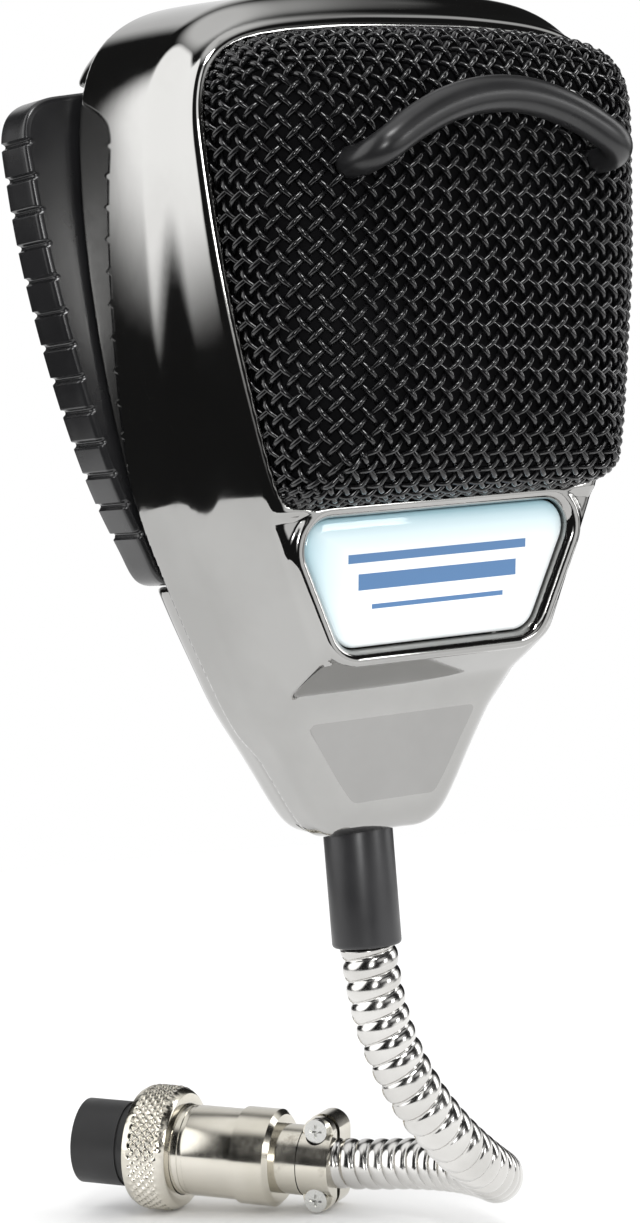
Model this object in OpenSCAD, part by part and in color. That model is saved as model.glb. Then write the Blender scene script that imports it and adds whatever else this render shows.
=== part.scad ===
// Hand microphone with push-to-talk lever, woven grille, lip guard, armoured lead and screw-ring plug.
// Millimetres. +Z runs up the long axis, the grille faces -Y, the lever is on the -X side.
// The origin is the centre of the underside of the hang-up button's head, behind the back cover.
// The body is drawn from the top edge of its name plate; frame() carries it to the origin.

/* [Housing] */
// Depth of the parting line behind the name plate
seam_y = 22; // [21.5:0.25:22.5]
// Thickness of the cast shells
wall = 1.8; // [1.5:0.1:2.2]
// Depth of the back cover behind the parting line
cover_d = 9; // [8.5:0.25:9.5]
// Radius of the cover screws' shanks
screw_r = 1.4; // [1.2:0.1:1.5]

// Half-width of the body at the parting line, at its widest
body_w = 33.4; // [33:0.1:33.8]
// Half-width of the front lip at its widest
lip_w = 31.4; // [31:0.1:31.6]

/* [Grille] */
// Half-width of the grille opening at its widest
open_w = 29.8; // [29.4:0.1:29.9]
// How far the grille stands in front of the rim
dome_h = 13; // [11:0.5:14]
// Thickness of the woven grille
mesh_t = 1.5; // [1.2:0.1:1.8]
// Diameter of the bar of the lip guard
guard_d = 4.1; // [3.6:0.1:4.4]

/* [Push-to-talk lever] */
// Pitch of the finger ribs
rib_pitch = 4.22; // [4:0.1:4.6]
// Depth of the grooves between the ribs
rib_depth = 0.8; // [0.5:0.1:1]
// Radius of the pivot pin
pivot_r = 1.2; // [1:0.1:1.3]
// Radial clearance of the pivot
pivot_gap = 0.06; // [0.04:0.01:0.08]

/* [Hang-up button] */
// Radius of the button's head
button_r = 6.5; // [6:0.25:7]
// Thickness of the button's head
button_t = 2.4; // [2:0.1:2.8]
// Gap between the head and the back cover
button_gap = 3; // [2.5:0.1:3.5]

/* [Lead] */
// Outer diameter of the steel armour
cord_d = 7.2; // [6.8:0.1:7.4]
// Outer diameter of the strain relief tube
relief_d = 9.1; // [8.8:0.1:9.4]

/* [Plug] */
// Outer diameter of the knurled coupling ring
ring_d = 19; // [18.6:0.1:19.2]
// Diameter of the contact insert
insert_d = 12.8; // [12.4:0.1:13]
// Pitch circle diameter of the contacts
contact_pcd = 7; // [6.6:0.1:7.2]
// Radius of the hole in each contact
contact_r = 1; // [0.9:0.05:1.05]

/* [Hidden] */
$fn = 64;
e = 0.01;

// Half-width at height z of a flank that widens from w0 at z0 to w at zw
function flank(z, z0, w0, zw, w, p) = w - (w - w0) * pow((zw - z) / (zw - z0), p);
// Round-shouldered top of half-width w and rise h above zw, up to the middle: [x, z]
function crown(w, zw, h, n) = [for (a = [10:10:90]) [w * pow(cos(a), 2 / n), zw + h * pow(sin(a), 2 / n)]];
function corner(x, z, r, a0, a1) = [for (k = [0:3]) let (a = a0 + (a1 - a0) * k / 3) [x + r * cos(a), z + r * sin(a)]];
// Right half of the shell at the parting line, from the side of the name plate up to the top centre
seam_u = concat([for (z = [-19, -15, -10, -4]) [28.4 - 0.37 * (1 - z), z]],
  [for (z = [1, 10, 20, 30, 40]) [flank(min(z, 38), 1, 28.4, 38, body_w, 2), z]], crown(body_w, 38, 27.5, 3.5));
// The same at the front lip
lip_u = concat([for (z = [-18, -14, -9, -4]) [24.2 - 0.415 * (1 - z), z]],
  [for (z = [1, 11, 22, 34, 46]) [flank(z, 1, 24.2, 48, lip_w, 1.75), z]], crown(lip_w, 48, 12.5, 3));
// Right half of the neck at the parting line, from the bottom centre up
neck_s = concat([[0, -41]], [for (a = [-90:30:-30]) [6 + 4.8 * cos(a), -36.2 + 4.8 * sin(a)]],
  [for (z = [-33, -28, -23.5]) [10.6 + 0.58 * (z + 38), z]]);
// Right half of the grille opening, from the bottom centre round to the top centre
open_h = concat([[0, 1.6]], [for (a = [-90:30:-30]) [20.4 + 3.6 * cos(a), 5.2 + 3.6 * sin(a)]],
  [for (z = [5.2, 12, 20, 28, 36, 44]) [flank(z, 5.2, 24, 48, open_w, 1.5), z]], crown(open_w, 48, 10.6, 3.4));
// Name plate corners
plate_top = 20.2;
plate_bot = 14.3;
plate_h = 16.2;
plate_tilt = 8.8;
body_back = seam_y + cover_d;
button_z = 30;
plug_at = [26.5, 75, -96.5];
plug_turn = 125;
plug_tilt = 5;
plug_axis = [cos(plug_tilt) * cos(plug_turn), cos(plug_tilt) * sin(plug_turn), sin(plug_tilt)];
// Control points of the lead's centre line: straight down out of the strain relief, round, and straight into the plug
route = concat([[0, 23, -46], [0, 23, -56], [1, 23, -67], [5, 22, -77], [12, 23, -85], [21, 28, -91],
  [29, 38, -94], [33, 51, -95], [32, 64, -96]], [for (k = [-4, 6, 16]) plug_at + k * plug_axis]);
pivot = [-22.5, -2.5];
guard_bow = 28;
guard_half = 38.5;
foot_x = guard_bow * sin(guard_half);
foot_z = 48.3 - guard_bow + guard_bow * cos(guard_half);
cover_pts = [[-19.5, 56.2], [19.5, 56.2], [-11, -18.5], [11, -18.5]];
post_pts = [[-20.5, 49.5], [20.5, 49.5], [-19, 15.5], [19, 15.5]];

function bspline(p, n) = [for (i = [0:len(p) - 4], k = [0:n]) if (k < n || i == len(p) - 4) let (t = k / n)
  (pow(1 - t, 3) * p[i] + (3 * pow(t, 3) - 6 * t * t + 4) * p[i + 1] + (-3 * pow(t, 3) + 3 * t * t + 3 * t + 1) * p[i + 2] + pow(t, 3) * p[i + 3]) / 6];
function mix(a, b, t) = [for (i = [0:len(a) - 1]) a[i] * (1 - t) + b[i] * t];
function sym(h) = concat(h, [for (i = [len(h) - 1:-1:0]) [-h[i][0], h[i][1]]]);
function upper(y) = mix(lip_u, seam_u, (y + 2) / (seam_y + 2));
module frame() { translate([0, -body_back - button_gap, -button_z]) children(); }
// A thin slab in the XZ plane whose back face is at y
module slab(y, pts, inset = 0, t = 0.04) {
  translate([0, y, 0]) rotate([90, 0, 0]) linear_extrude(t) offset(delta = -inset) polygon(sym(pts));
}
module along_y(x, z, y0, y1, r, r2 = -1) {
  translate([x, y0, z]) rotate([-90, 0, 0]) cylinder(h = y1 - y0, r1 = r, r2 = r2 < 0 ? r : r2);
}
module plug() { translate(plug_at) rotate([0, 0, plug_turn]) rotate([0, 90 - plug_tilt, 0]) children(); }
// Pan-head screw, head at the origin and shank along +Z
module screw(r, l, hr, hh) {
  difference() {
    union() { translate([0, 0, -hh]) cylinder(h = hh, r = hr); translate([0, 0, -e]) cylinder(h = l + e, r = r); }
    for (a = [0, 90]) rotate([0, 0, a]) translate([-hr * 0.55, -hr * 0.12, -hh - 1]) cube([hr * 1.1, hr * 0.24, hh * 0.5 + 1]);
  }
}

// ---- shells ----
module shell_outer() {
  hull() {
    slab(-2 + 0.04, concat([[24, 1]], [for (i = [5:17]) lip_u[i]]), 0.9);
    slab(-1, concat([[24.4, 0.4]], [for (i = [4:17]) upper(-1)[i]]), 0.1);
    slab(1.9, [[0, -17.4], [14, -17.4], [16.2, -15.6], [18.6, -10]], 0);
    slab(3.2, upper(3.2), 0);
    slab(13, concat([[0, -22.6], [14.6, -22.6]], upper(13)), 0);
  }
  hull() {
    slab(12.6, concat([[0, -40.4], [3, -40.4], [4.6, -38], [11.2, -27.6], [13.8, -23]], [for (i = [1:17]) upper(12)[i]]), 0.2);
    slab(14.4, concat([[0, -41], [4.6, -41], [6.6, -39.6], [9.4, -35], [13.8, -27.6], [17.2, -21.6]], [for (i = [1:17]) upper(14.4)[i]]), 0);
    slab(17.5, concat([[0, -41], [5.6, -41], [7.9, -40.1], [10, -37.6], [15.6, -27.8], [18.4, -23.2]], [for (i = [1:17]) upper(17.5)[i]]), 0);
    slab(seam_y, concat(neck_s, seam_u), 0);
  }
}
module shell_inner() {
  hull() {
    slab(-0.2, concat([[23.6, -0.1]], [for (i = [4:17]) lip_u[i]]), 0.85);
    slab(3, concat([[24, 0.2]], [for (i = [4:17]) upper(3)[i]]), 1.15);
    slab(seam_y + 0.1, concat([[26, 0.2]], [for (i = [4:17]) seam_u[i]]), wall);
  }
  hull() {
    slab(5, concat([[0, -13.6]], [for (i = [1:5]) upper(5)[i]], [[0, 14]]), wall);
    slab(14, concat([[0, -19]], [for (i = [0:5]) upper(14)[i]], [[0, 14]]), wall);
    slab(seam_y + 0.1, concat([[0, -19]], [for (i = [0:5]) seam_u[i]], [[0, 14]]), wall);
  }
  hull() {
    slab(16, [[0, -38], [3.6, -37.4], [6.8, -33], [11.8, -24.6], [13, 10], [0, 10]]);
    slab(seam_y + 0.1, concat(neck_s, [for (i = [0:4]) seam_u[i]], [[0, 10]]), wall);
  }
}
module plate_outline(g) {
  offset(r = 3.2) offset(delta = -3.2 + g)
    polygon([[-plate_top, 0], [plate_top, 0], [plate_bot, -plate_h], [-plate_bot, -plate_h]]);
}
module at_plate() { rotate([90 + plate_tilt, 0, 0]) children(); }

module front_housing() {
  color([0.62, 0.61, 0.59]) frame() difference() {
    union() {
      difference() { shell_outer(); shell_inner(); }
      for (p = cover_pts) along_y(p[0], p[1], p[1] < 0 ? 13 : 2.6, seam_y - 0.3, 3);
      for (s = [-1, 1]) translate([s * 19.5 - 0.9, 8, 56]) cube([1.8, seam_y - 8.3, 4.6]);
      along_y(pivot[0], pivot[1], 13, seam_y, 2.7);
      for (s = [-1, 1]) along_y(s * 8.5, -8, 4, 18.9, 2.2);
      for (s = [-1, 1]) along_y(s * 7, -29.5, 13.6, 17.9, 2);
      along_y(-10.8, 0.5, 4, 20.9, 2.1);
      along_y(-10.8, 11, 15.6, 20.9, 2.1);
      translate([-28.6, 15.6, 10.2]) cube([17, 5.3, 1.6]);
    }
    // grille opening
    translate([0, 1, 0]) rotate([90, 0, 0]) linear_extrude(4) polygon(sym(open_h));
    // name plate pocket
    translate([0, 1.1, 0]) at_plate() linear_extrude(6) plate_outline(0.15);
    // screw holes
    for (p = cover_pts) along_y(p[0], p[1], seam_y - 12, seam_y + 1, screw_r);
    along_y(pivot[0], pivot[1], 16, seam_y + 1, pivot_r);
    for (s = [-1, 1]) { along_y(s * 8.5, -8, 12, 20, 0.9); along_y(s * 7, -29.5, 15, 19, 0.9); along_y(s * 6.4, -2.6, 1.7, 6, 0.9); }
    for (z = [0.5, 11]) along_y(-10.8, z, 16.2, 22, 0.9);
    // half hole for the strain relief
    translate([0, 23, -42]) cylinder(h = 3.2, r = relief_d / 2);
    translate([0, 23, -39.2]) cylinder(h = 2.6, r = 6.05);
  }
}

module back_cover() {
  full = concat(neck_s, seam_u);
  color([0.66, 0.66, 0.64]) frame() difference() {
    union() {
      difference() {
        hull() {
          slab(seam_y + 0.06, full, 0.25, 0.04);
          slab(seam_y + 2.4, full, 0.9);
          slab(seam_y + 5.2, full, 2.6);
          slab(seam_y + 7.6, full, 5.2);
          slab(body_back, full, 9);
        }
        hull() {
          slab(seam_y + 0.02, full, wall + 0.2, 0.3);
          slab(seam_y + 4.6, full, wall + 2);
          slab(body_back - wall, full, wall + 7);
        }
      }
      intersection() {
        union() {
          for (p = cover_pts) along_y(p[0], p[1], seam_y + 0.1, body_back - 0.6, 3.4);
          along_y(pivot[0], pivot[1], seam_y + 8.3, body_back, 2.6);
        }
        hull() { slab(seam_y + 0.06, full, 0.25, 0.04); slab(seam_y + 5.2, full, 2.6); slab(body_back, full, 9); }
      }
      along_y(0, button_z, body_back - wall - 1.6, body_back - e, 4.4);
      translate([-16.2, seam_y + 2, 36]) cube([1.6, body_back - 1 - seam_y - 2, 8]);
    }
    // slot for the lever
    translate([-42, seam_y - 1, -7.1]) cube([42 - 19.2, 9.4, 38.1]);
    translate([-42, seam_y - 1, 30]) cube([42 - 23.2, 9.4, 26]);
    // cover screws sit in counterbores
    for (p = cover_pts) { along_y(p[0], p[1], seam_y - 1, body_back + 1, screw_r + 0.15); along_y(p[0], p[1], seam_y + 5, body_back + 1, 2.7); }
    along_y(pivot[0], pivot[1], seam_y - 1, seam_y + 8.6, pivot_r);
    along_y(0, button_z, body_back - 6, body_back + 1, 1.6);
    translate([0, 23, -42]) cylinder(h = 3.2, r = relief_d / 2);
    translate([0, 23, -39.2]) cylinder(h = 2.6, r = 6.05);
  }
}

module cover_screws() {
  color("silver") frame() for (p = cover_pts)
    translate([p[0], seam_y + 5, p[1]]) rotate([90, 0, 0]) screw(screw_r, 12, 2.5, 1.8);
}

// ---- grille ----
module dome(g, h) {
  hull() {
    slab(0, open_h, 0.1 + g, 0.1);
    slab(-2 - h * 0.28, open_h, 0.7 + g);
    slab(-2 - h * 0.58, open_h, 2.6 + g);
    slab(-2 - h * 0.82, open_h, 6.2 + g);
    slab(-2 - h * 0.95, open_h, 10.5 + g);
    slab(-2 - h + 0.04, open_h, 17 + g);
  }
}
module grille_mesh() {
  color([0.06, 0.06, 0.06]) frame() difference() {
    union() {
      dome(0, dome_h);
      slab(0.96, open_h, -0.3, 1.1);
    }
    translate([0, 1.2, 0]) dome(mesh_t, dome_h - mesh_t + 1.2);
    for (s = [-1, 1]) along_y(s * foot_x, foot_z, -20, 0, 1.3);
  }
}
module grille_retainer() {
  color([0.12, 0.12, 0.12]) frame() difference() {
    union() {
      difference() { slab(2.4, open_h, -0.3, 1.38); slab(3.4, open_h, 3.6, 4); }
      translate([-8.6, 1.1, 3]) cube([17.2, 5.3, 2.4]);
      translate([-8.6, 5.04, -5.2]) cube([17.2, 1.36, 9]);
      for (p = post_pts) along_y(p[0], p[1], 1.1, 12.9, 2.4);
      for (s = [-1, 1]) {
        translate([min(s * 20.5, s * 28.4), 1.1, 48.7]) cube([7.9, 1.3, 1.6]);
        translate([min(s * 19, s * 25), 1.1, 14.7]) cube([6, 1.3, 1.6]);
      }
    }
    for (p = post_pts) along_y(p[0], p[1], 6, 14, 0.9);
    for (s = [-1, 1]) along_y(s * 6.4, -2.6, 4, 7, 1.2);
  }
}
module retainer_screws() {
  color("silver") frame() for (s = [-1, 1]) translate([s * 6.4, 6.42, -2.6]) rotate([90, 0, 0]) screw(0.88, 4.4, 1.8, 1.1);
}
module foam_windscreen() {
  color([0.1, 0.1, 0.1]) frame() difference() {
    translate([0, 1, 0]) dome(mesh_t + 0.5, dome_h - mesh_t + 0.6);
    translate([0, 4.2, 0]) dome(mesh_t + 3.6, dome_h - mesh_t + 1.2);
    for (s = [-1, 1]) along_y(s * foot_x, foot_z, -20, 3, 3);
    for (p = post_pts) along_y(p[0], p[1], -3, 3, 2.8);
    difference() { translate([-40, 0.8, -5]) cube([80, 3, 80]); slab(3.2, open_h, 4, 3); }
  }
}
function ring_pts(p, t, r, n) =
  let (up = [1, 0, 1], a = cross(t, up) / norm(cross(t, up)), b = cross(a, t))
  [for (k = [0:n - 1]) p + r * (cos(360 * k / n) * a + sin(360 * k / n) * b)];
function unit(v) = v / norm(v);
// A closed round tube of n sides along the points c
module tube(c, r, n) {
  m = len(c);
  t = [for (i = [0:m - 1]) unit(i == 0 ? c[1] - c[0] : i == m - 1 ? c[m - 1] - c[m - 2] : c[i + 1] - c[i - 1])];
  pts = [for (i = [0:m - 1]) each ring_pts(c[i], t[i], r, n)];
  polyhedron(points = pts, faces = concat([[for (k = [0:n - 1]) k]], [[for (k = [n - 1:-1:0]) (m - 1) * n + k]],
    [for (i = [0:m - 2], k = [0:n - 1]) each [[i * n + k, (i + 1) * n + k, (i + 1) * n + (k + 1) % n], [i * n + k, (i + 1) * n + (k + 1) % n, i * n + (k + 1) % n]]]), convexity = 6);
}
module lip_guard() {
  // a low arch of round bar on two legs that stand on the grille
  color([0.05, 0.05, 0.05]) frame() difference() {
    union() {
      translate([0, -20, 48.3 - guard_bow]) rotate([90, 0, 0]) rotate([0, 0, 90 - guard_half])
        rotate_extrude(angle = 2 * guard_half) translate([guard_bow, 0]) circle(r = guard_d / 2, $fn = 48);
      for (s = [-1, 1]) {
        translate([s * foot_x, -20, foot_z]) sphere(r = guard_d / 2 + 0.12, $fn = 48);
        along_y(s * foot_x, foot_z, -20, -14.75, guard_d / 2 + 0.04);
      }
    }
    for (s = [-1, 1]) along_y(s * foot_x, foot_z, -18, -14, 0.9);
  }
}
module lip_guard_screws() {
  color("silver") frame() for (s = [-1, 1]) translate([s * foot_x, -12, foot_z]) rotate([90, 0, 0]) screw(0.88, 5.6, 2.1, 1.2);
}

// ---- name plate ----
module name_plate() {
  color([0.93, 0.95, 0.95]) frame() translate([0, 1.08, 0]) at_plate() linear_extrude(0.6) plate_outline(0.05);
}
module name_plate_dome() {
  color([0.85, 0.92, 0.93]) frame() translate([0, 1.08, 0]) at_plate() hull() {
    translate([0, 0, 0.62]) linear_extrude(0.5) plate_outline(-0.1);
    translate([0, 0, 1.3]) linear_extrude(0.04) plate_outline(-1);
    translate([0, 0, 1.5]) linear_extrude(0.04) plate_outline(-2.4);
  }
}

// ---- capsule ----
module mic_capsule() {
  color([0.55, 0.55, 0.52]) frame() difference() {
    union() { along_y(0, 34, 3, 12, 13.4); along_y(0, 34, 12 - e, 14.5, 6); }
    for (a = [0:60:300]) along_y(7 * cos(a), 34 + 7 * sin(a), 2, 3.8, 1);
    along_y(0, 34, 2, 3.8, 1);
  }
}
module capsule_boot() {
  color([0.1, 0.1, 0.1]) frame() difference() {
    along_y(0, 34, 4, 12.8, 15.2);
    along_y(0, 34, 3, 12.06, 13.42);
    along_y(0, 34, 11, 14, 9.5);
  }
}
module capsule_bracket() {
  color([0.7, 0.68, 0.6]) frame() difference() {
    translate([0, 14.1, 0]) rotate([90, 0, 0]) linear_extrude(1.15) difference() {
      union() { for (p = post_pts) hull() { translate(p) circle(r = 3, $fn = 32); translate([p[0] * 0.4, 34 + (p[1] - 34) * 0.5]) circle(r = 4, $fn = 32); } translate([0, 34]) circle(r = 16.2); }
      translate([0, 34]) circle(r = 9.6);
      circle(r = 8.5);
    }
    for (p = post_pts) along_y(p[0], p[1], 12, 15, 1.2);
    translate([-20, 12, -20]) cube([40, 4, 24]);
  }
}
module capsule_screws() {
  color("silver") frame() for (p = post_pts) translate([p[0], 14.12, p[1]]) rotate([90, 0, 0]) screw(0.88, 6, 1.9, 1.2);
}

// ---- push-to-talk ----
// Outer edge of the lever at height z
function lever_x(z) = -flank(z, 0, 29.6, 48, 40.2, 1.8);
lever_out = concat([[-26.2, -6.4]], [for (z = [-4:8.5:47]) [lever_x(z), z]], corner(-36.4, 50.2, 3.8, 180, 90), [[-30, 55], [-27.6, 55.2]]);
lever_in = [[-27.6, 48], [-28.3, 38], [-27.9, 28.6], [-21.5, 27], [-21.3, 22.6], [-27.2, 20.6], [-26.6, 12], [-24, 4], [-20.6, 1],
  [-19.5, -1.5], [-19.6, -4.6], [-22.3, -6.4]];
module ptt_lever() {
  color([0.09, 0.09, 0.1]) frame() difference() {
    union() {
      translate([0, seam_y + 7, 0]) rotate([90, 0, 0]) linear_extrude(6.6) polygon(concat(lever_out, lever_in));
      translate([0, seam_y + 7.5, 0]) rotate([90, 0, 0]) linear_extrude(2) offset(delta = -0.4) polygon(concat(lever_out, lever_in));
      translate([0, seam_y + 8, 0]) rotate([90, 0, 0]) linear_extrude(2) offset(delta = -1) polygon(concat(lever_out, lever_in));
    }
    // finger grooves across the outer face
    for (k = [0:11]) let (z = 0.8 + k * rib_pitch, x = lever_x(z))
      translate([x - 2 + rib_depth, seam_y - 1, z - 0.3]) cube([2, 12, 0.7]);
    along_y(pivot[0], pivot[1], seam_y - 1, seam_y + 10, pivot_r + pivot_gap);
    // hollow back
    translate([-36, seam_y + 4.2, 34]) cube([5, 6, 13]);
    along_y(-30.6, 25, seam_y + 4.2, seam_y + 10, 2.2);
  }
}
module ptt_pivot_pin() {
  color("silver") frame() along_y(pivot[0], pivot[1], 16.2, seam_y + 8.5, pivot_r);
}
module ptt_spring() {
  // drawn as the coil's turns between the lever and the post of the cover
  color([0.75, 0.75, 0.72]) frame() translate([-27.8, seam_y + 4, 41]) rotate([0, 90, 0]) union() {
    for (i = [0:5]) translate([0, 0, 0.4 + i * 2.1]) rotate_extrude() translate([1.9, 0]) circle(r = 0.35, $fn = 16);
    for (i = [0:4]) rotate([0, 0, i * 140]) translate([1.9, 0, 0.4 + i * 2.1]) cylinder(h = 2.1, r = 0.33, $fn = 16);
  }
}

// ---- switch ----
module switch_stack() {
  color([0.35, 0.2, 0.12]) frame() difference() {
    union() { for (k = [0:3]) translate([-19 + k * 1.6, seam_y - 1, -1.5]) cube([1.15, 7, 15]); translate([-19.4, seam_y - 1, -1.5]) cube([11, 1.2, 15]); }
    for (z = [0.5, 11]) along_y(-10.8, z, seam_y - 3, seam_y + 8, 1.3);
    translate([-23, seam_y - 2, -6]) cube([6.2, 10, 8.2]);
  }
}
module switch_leaves() {
  color([0.8, 0.62, 0.3]) frame() for (k = [1, 2]) difference() {
    translate([-19 + k * 1.6 - 0.43, seam_y + 0.6, 0]) cube([0.41, 5, 27]);
    for (z = [0.5, 11]) along_y(-10.8, z, seam_y - 3, seam_y + 8, 1.3);
  }
}
module switch_blade() {
  color([0.85, 0.68, 0.35]) frame() {
    translate([-19.46, seam_y + 0.6, 3]) cube([0.42, 5, 23.5]);
    translate([-19.06, seam_y + 2.2, 24]) rotate([0, 90, 0]) cylinder(h = 0.6, r = 1);
  }
}
module switch_screws() {
  color("silver") frame() for (z = [0.5, 11]) translate([-10.8, seam_y + 0.22, z]) rotate([90, 0, 0]) screw(0.88, 5.5, 1.9, 1.2);
}

// ---- wiring ----
module terminal_board() {
  color([0.5, 0.4, 0.15]) frame() difference() {
    union() { translate([-11, 19, -12]) cube([22, 1.5, 9]); for (k = [-2:2]) along_y(k * 3, -9.6, 20.4, 21.6, 0.8); for (k = [-2:2]) along_y(k * 3, -5.2, 20.4, 21.6, 0.8); }
    for (s = [-1, 1]) along_y(s * 8.5, -8, 18, 22, 1.2);
  }
}
module board_screws() {
  color("silver") frame() for (s = [-1, 1]) translate([s * 8.5, 20.52, -8]) rotate([90, 0, 0]) screw(0.88, 6, 1.9, 1.1);
}
module hookup_wires() {
  for (k = [-2:2]) color([[0.8, 0.1, 0.1], [0.9, 0.9, 0.9], [0.1, 0.1, 0.1], [0.9, 0.8, 0.1], [0.1, 0.4, 0.8]][k + 2]) frame()
    tube([for (i = [0:6]) let (u = i / 6) [k * (0.9 + 2.1 * u), 21.9 + 0.5 * sin(180 * u) + 0.1, -19.9 + 10.2 * u]], 0.4, 8);
}
module inner_cable() {
  color([0.15, 0.15, 0.15]) frame() translate([0, 23, -56]) { cylinder(h = 35.8, r = 2.3); }
}
module cable_clamp() {
  color([0.7, 0.7, 0.68]) frame() difference() {
    union() { translate([-9.4, 18.1, -32]) cube([18.8, 2.2, 5]); translate([0, 23, -32]) cylinder(h = 5, r = 4); }
    translate([0, 23, -33]) cylinder(h = 7, r = 2.32);
    translate([-6, 23.6, -33]) cube([12, 5, 7]);
    for (s = [-1, 1]) along_y(s * 7, -29.5, 17, 21, 1.2);
  }
}
module cable_clamp_screws() {
  color("silver") frame() for (s = [-1, 1]) translate([s * 7, 20.32, -29.5]) rotate([90, 0, 0]) screw(0.88, 5, 1.7, 1.1);
}
module strain_relief() {
  color([0.08, 0.08, 0.09]) frame() translate([0, 23, -56]) difference() {
    union() {
      cylinder(h = 19, r = relief_d / 2);
      translate([0, 0, 16.85]) cylinder(h = 2.5, r = 6);
    }
    translate([0, 0, -1]) cylinder(h = 24, r = 2.32);
  }
}
module hang_button() {
  color([0.7, 0.7, 0.68]) translate([0, -button_gap, 0]) rotate([-90, 0, 0]) difference() {
    union() {
      cylinder(h = button_gap + e, r = 3.1);
      translate([0, 0, button_gap]) cylinder(h = button_t, r = button_r);
    }
    translate([0, 0, -1]) cylinder(h = 12, r = 1.6);
    translate([0, 0, button_gap + button_t - 1.7]) cylinder(h = 1.72, r1 = 1.6, r2 = 3.3);
  }
}
module hang_button_screw() {
  color("silver") translate([0, -button_gap, 0]) rotate([-90, 0, 0]) difference() {
    union() {
      translate([0, 0, -5.4]) cylinder(h = 5.4 + button_gap + button_t - 1, r = 1.55);
      translate([0, 0, button_gap + button_t - 1.72]) cylinder(h = 1.7, r1 = 1.55, r2 = 3.2);
      translate([0, 0, -5]) cylinder(h = 1.55, r = 2.9, $fn = 6);
    }
    for (a = [0, 90]) rotate([0, 0, a]) translate([-1.7, -0.35, button_gap + button_t - 0.8]) cube([3.4, 0.7, 2]);
  }
}

// ---- lead and plug ----
module armoured_cord() { color([0.72, 0.72, 0.7]) frame() tube(bspline(route, 2), cord_d / 2, 12); }

module plug_insert() {
  color([0.06, 0.06, 0.07]) frame() plug() difference() {
    union() {
      translate([0, 0, 22]) cylinder(h = 18, r = insert_d / 2 - 0.75);
      translate([0, 0, 31.44]) cylinder(h = 5, r = insert_d / 2 - 0.25);
      translate([0, 0, 33.8]) cylinder(h = 7.2, r = insert_d / 2);
    }
    for (a = [45:90:315]) rotate([0, 0, a]) translate([contact_pcd / 2, 0, 20]) cylinder(h = 22, r = 1.42);
    translate([insert_d / 2 - 0.9, -1, 37]) cube([2, 2, 6]);
  }
}
module plug_contacts() {
  color([0.85, 0.75, 0.45]) frame() plug() for (a = [45:90:315]) rotate([0, 0, a]) translate([contact_pcd / 2, 0, 20.4]) difference() {
    cylinder(h = 20.2, r = 1.4);
    translate([0, 0, 12]) cylinder(h = 9, r = contact_r);
    translate([0, 0, -1]) cylinder(h = 4, r = 0.8);
  }
}
module plug_shell() {
  color([0.72, 0.72, 0.69]) frame() plug() difference() {
    union() { translate([0, 0, 12]) cylinder(h = 19.4, r = 6.8); translate([0, 0, 29.8]) cylinder(h = 1.6, r = 7.3); }
    translate([0, 0, 11]) cylinder(h = 22, r = insert_d / 2 - 0.72);
  }
}
module plug_snap_ring() {
  // spring ring that slides on the barrel and carries the coupling ring
  color([0.6, 0.6, 0.58]) frame() plug() translate([0, 0, 25.24]) difference() {
    cylinder(h = 0.72, r = 7.75);
    translate([0, 0, -1]) cylinder(h = 3, r = 6.86);
  }
}
module plug_coupling_ring() {
  color([0.75, 0.75, 0.7]) frame() plug() translate([0, 0, 24.6]) difference() {
    union() {
      cylinder(h = 1.4, r1 = ring_d / 2 - 1.3, r2 = ring_d / 2 - 0.1);
      translate([0, 0, 1.4 - e]) cylinder(h = 4.6 + 2 * e, r = ring_d / 2 - 0.1);
      translate([0, 0, 6]) cylinder(h = 1, r1 = ring_d / 2 - 0.1, r2 = ring_d / 2 - 0.9);
    }
    translate([0, 0, -1]) cylinder(h = 4, r = 6.9);
    translate([0, 0, 0.6]) cylinder(h = 0.8, r = 7.8);
    translate([0, 0, 2]) cylinder(h = 6, r = 7.9);
    // knurl flutes
    for (a = [0:9:351]) rotate([0, 0, a]) translate([ring_d / 2 + 0.12, 0, 1.9]) cylinder(h = 3.6, r = 0.42, $fn = 24);
  }
}
module plug_collar() {
  color([0.7, 0.7, 0.67]) frame() plug() difference() {
    union() {
      translate([0, 0, 8.8]) cylinder(h = 0.7, r1 = 6.5, r2 = 7.25);
      translate([0, 0, 9.5 - e]) cylinder(h = 5.2, r = 7.25);
      translate([0, 0, 5]) cylinder(h = 4, r = 5.2);
      // fixed half of the clamp
      translate([-7.05 + 2.65, -5, 0]) cube([14.1 - 5.3, 4.4, 5.3]);
      for (s = [-1, 1]) translate([s * 4.4, -5, 2.65]) rotate([-90, 0, 0]) cylinder(h = 4.4, r = 2.65);
    }
    translate([0, 0, -1]) cylinder(h = 13, r = 3.7);
    translate([0, 0, 11.9]) cylinder(h = 4, r = 6.82);
    for (s = [-1, 1]) translate([s * 5.2, -6, 2.45]) rotate([-90, 0, 0]) cylinder(h = 8, r = 0.9);
  }
}
module plug_clamp_saddle() {
  color([0.76, 0.76, 0.72]) frame() plug() difference() {
    union() {
      translate([-4.4, 0.6, 0]) cube([8.8, 1.4, 4.9]);
      for (s = [-1, 1]) translate([s * 4.6, 0.6, 2.45]) rotate([-90, 0, 0]) cylinder(h = 1.4, r = 2.45);
      intersection() { cylinder(h = 4.9, r = 5.1); translate([-6, 0.6, -1]) cube([12, 8, 8]); }
    }
    translate([0, 0, -1]) cylinder(h = 8, r = 3.7);
    for (s = [-1, 1]) translate([s * 5.2, -1, 2.45]) rotate([-90, 0, 0]) cylinder(h = 8, r = 1.15);
    for (s = [-1, 1]) translate([s * 5.2, 2.02, 2.45]) rotate([-90, 0, 0]) cylinder(h = 8, r = 1.9);
  }
}
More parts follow.
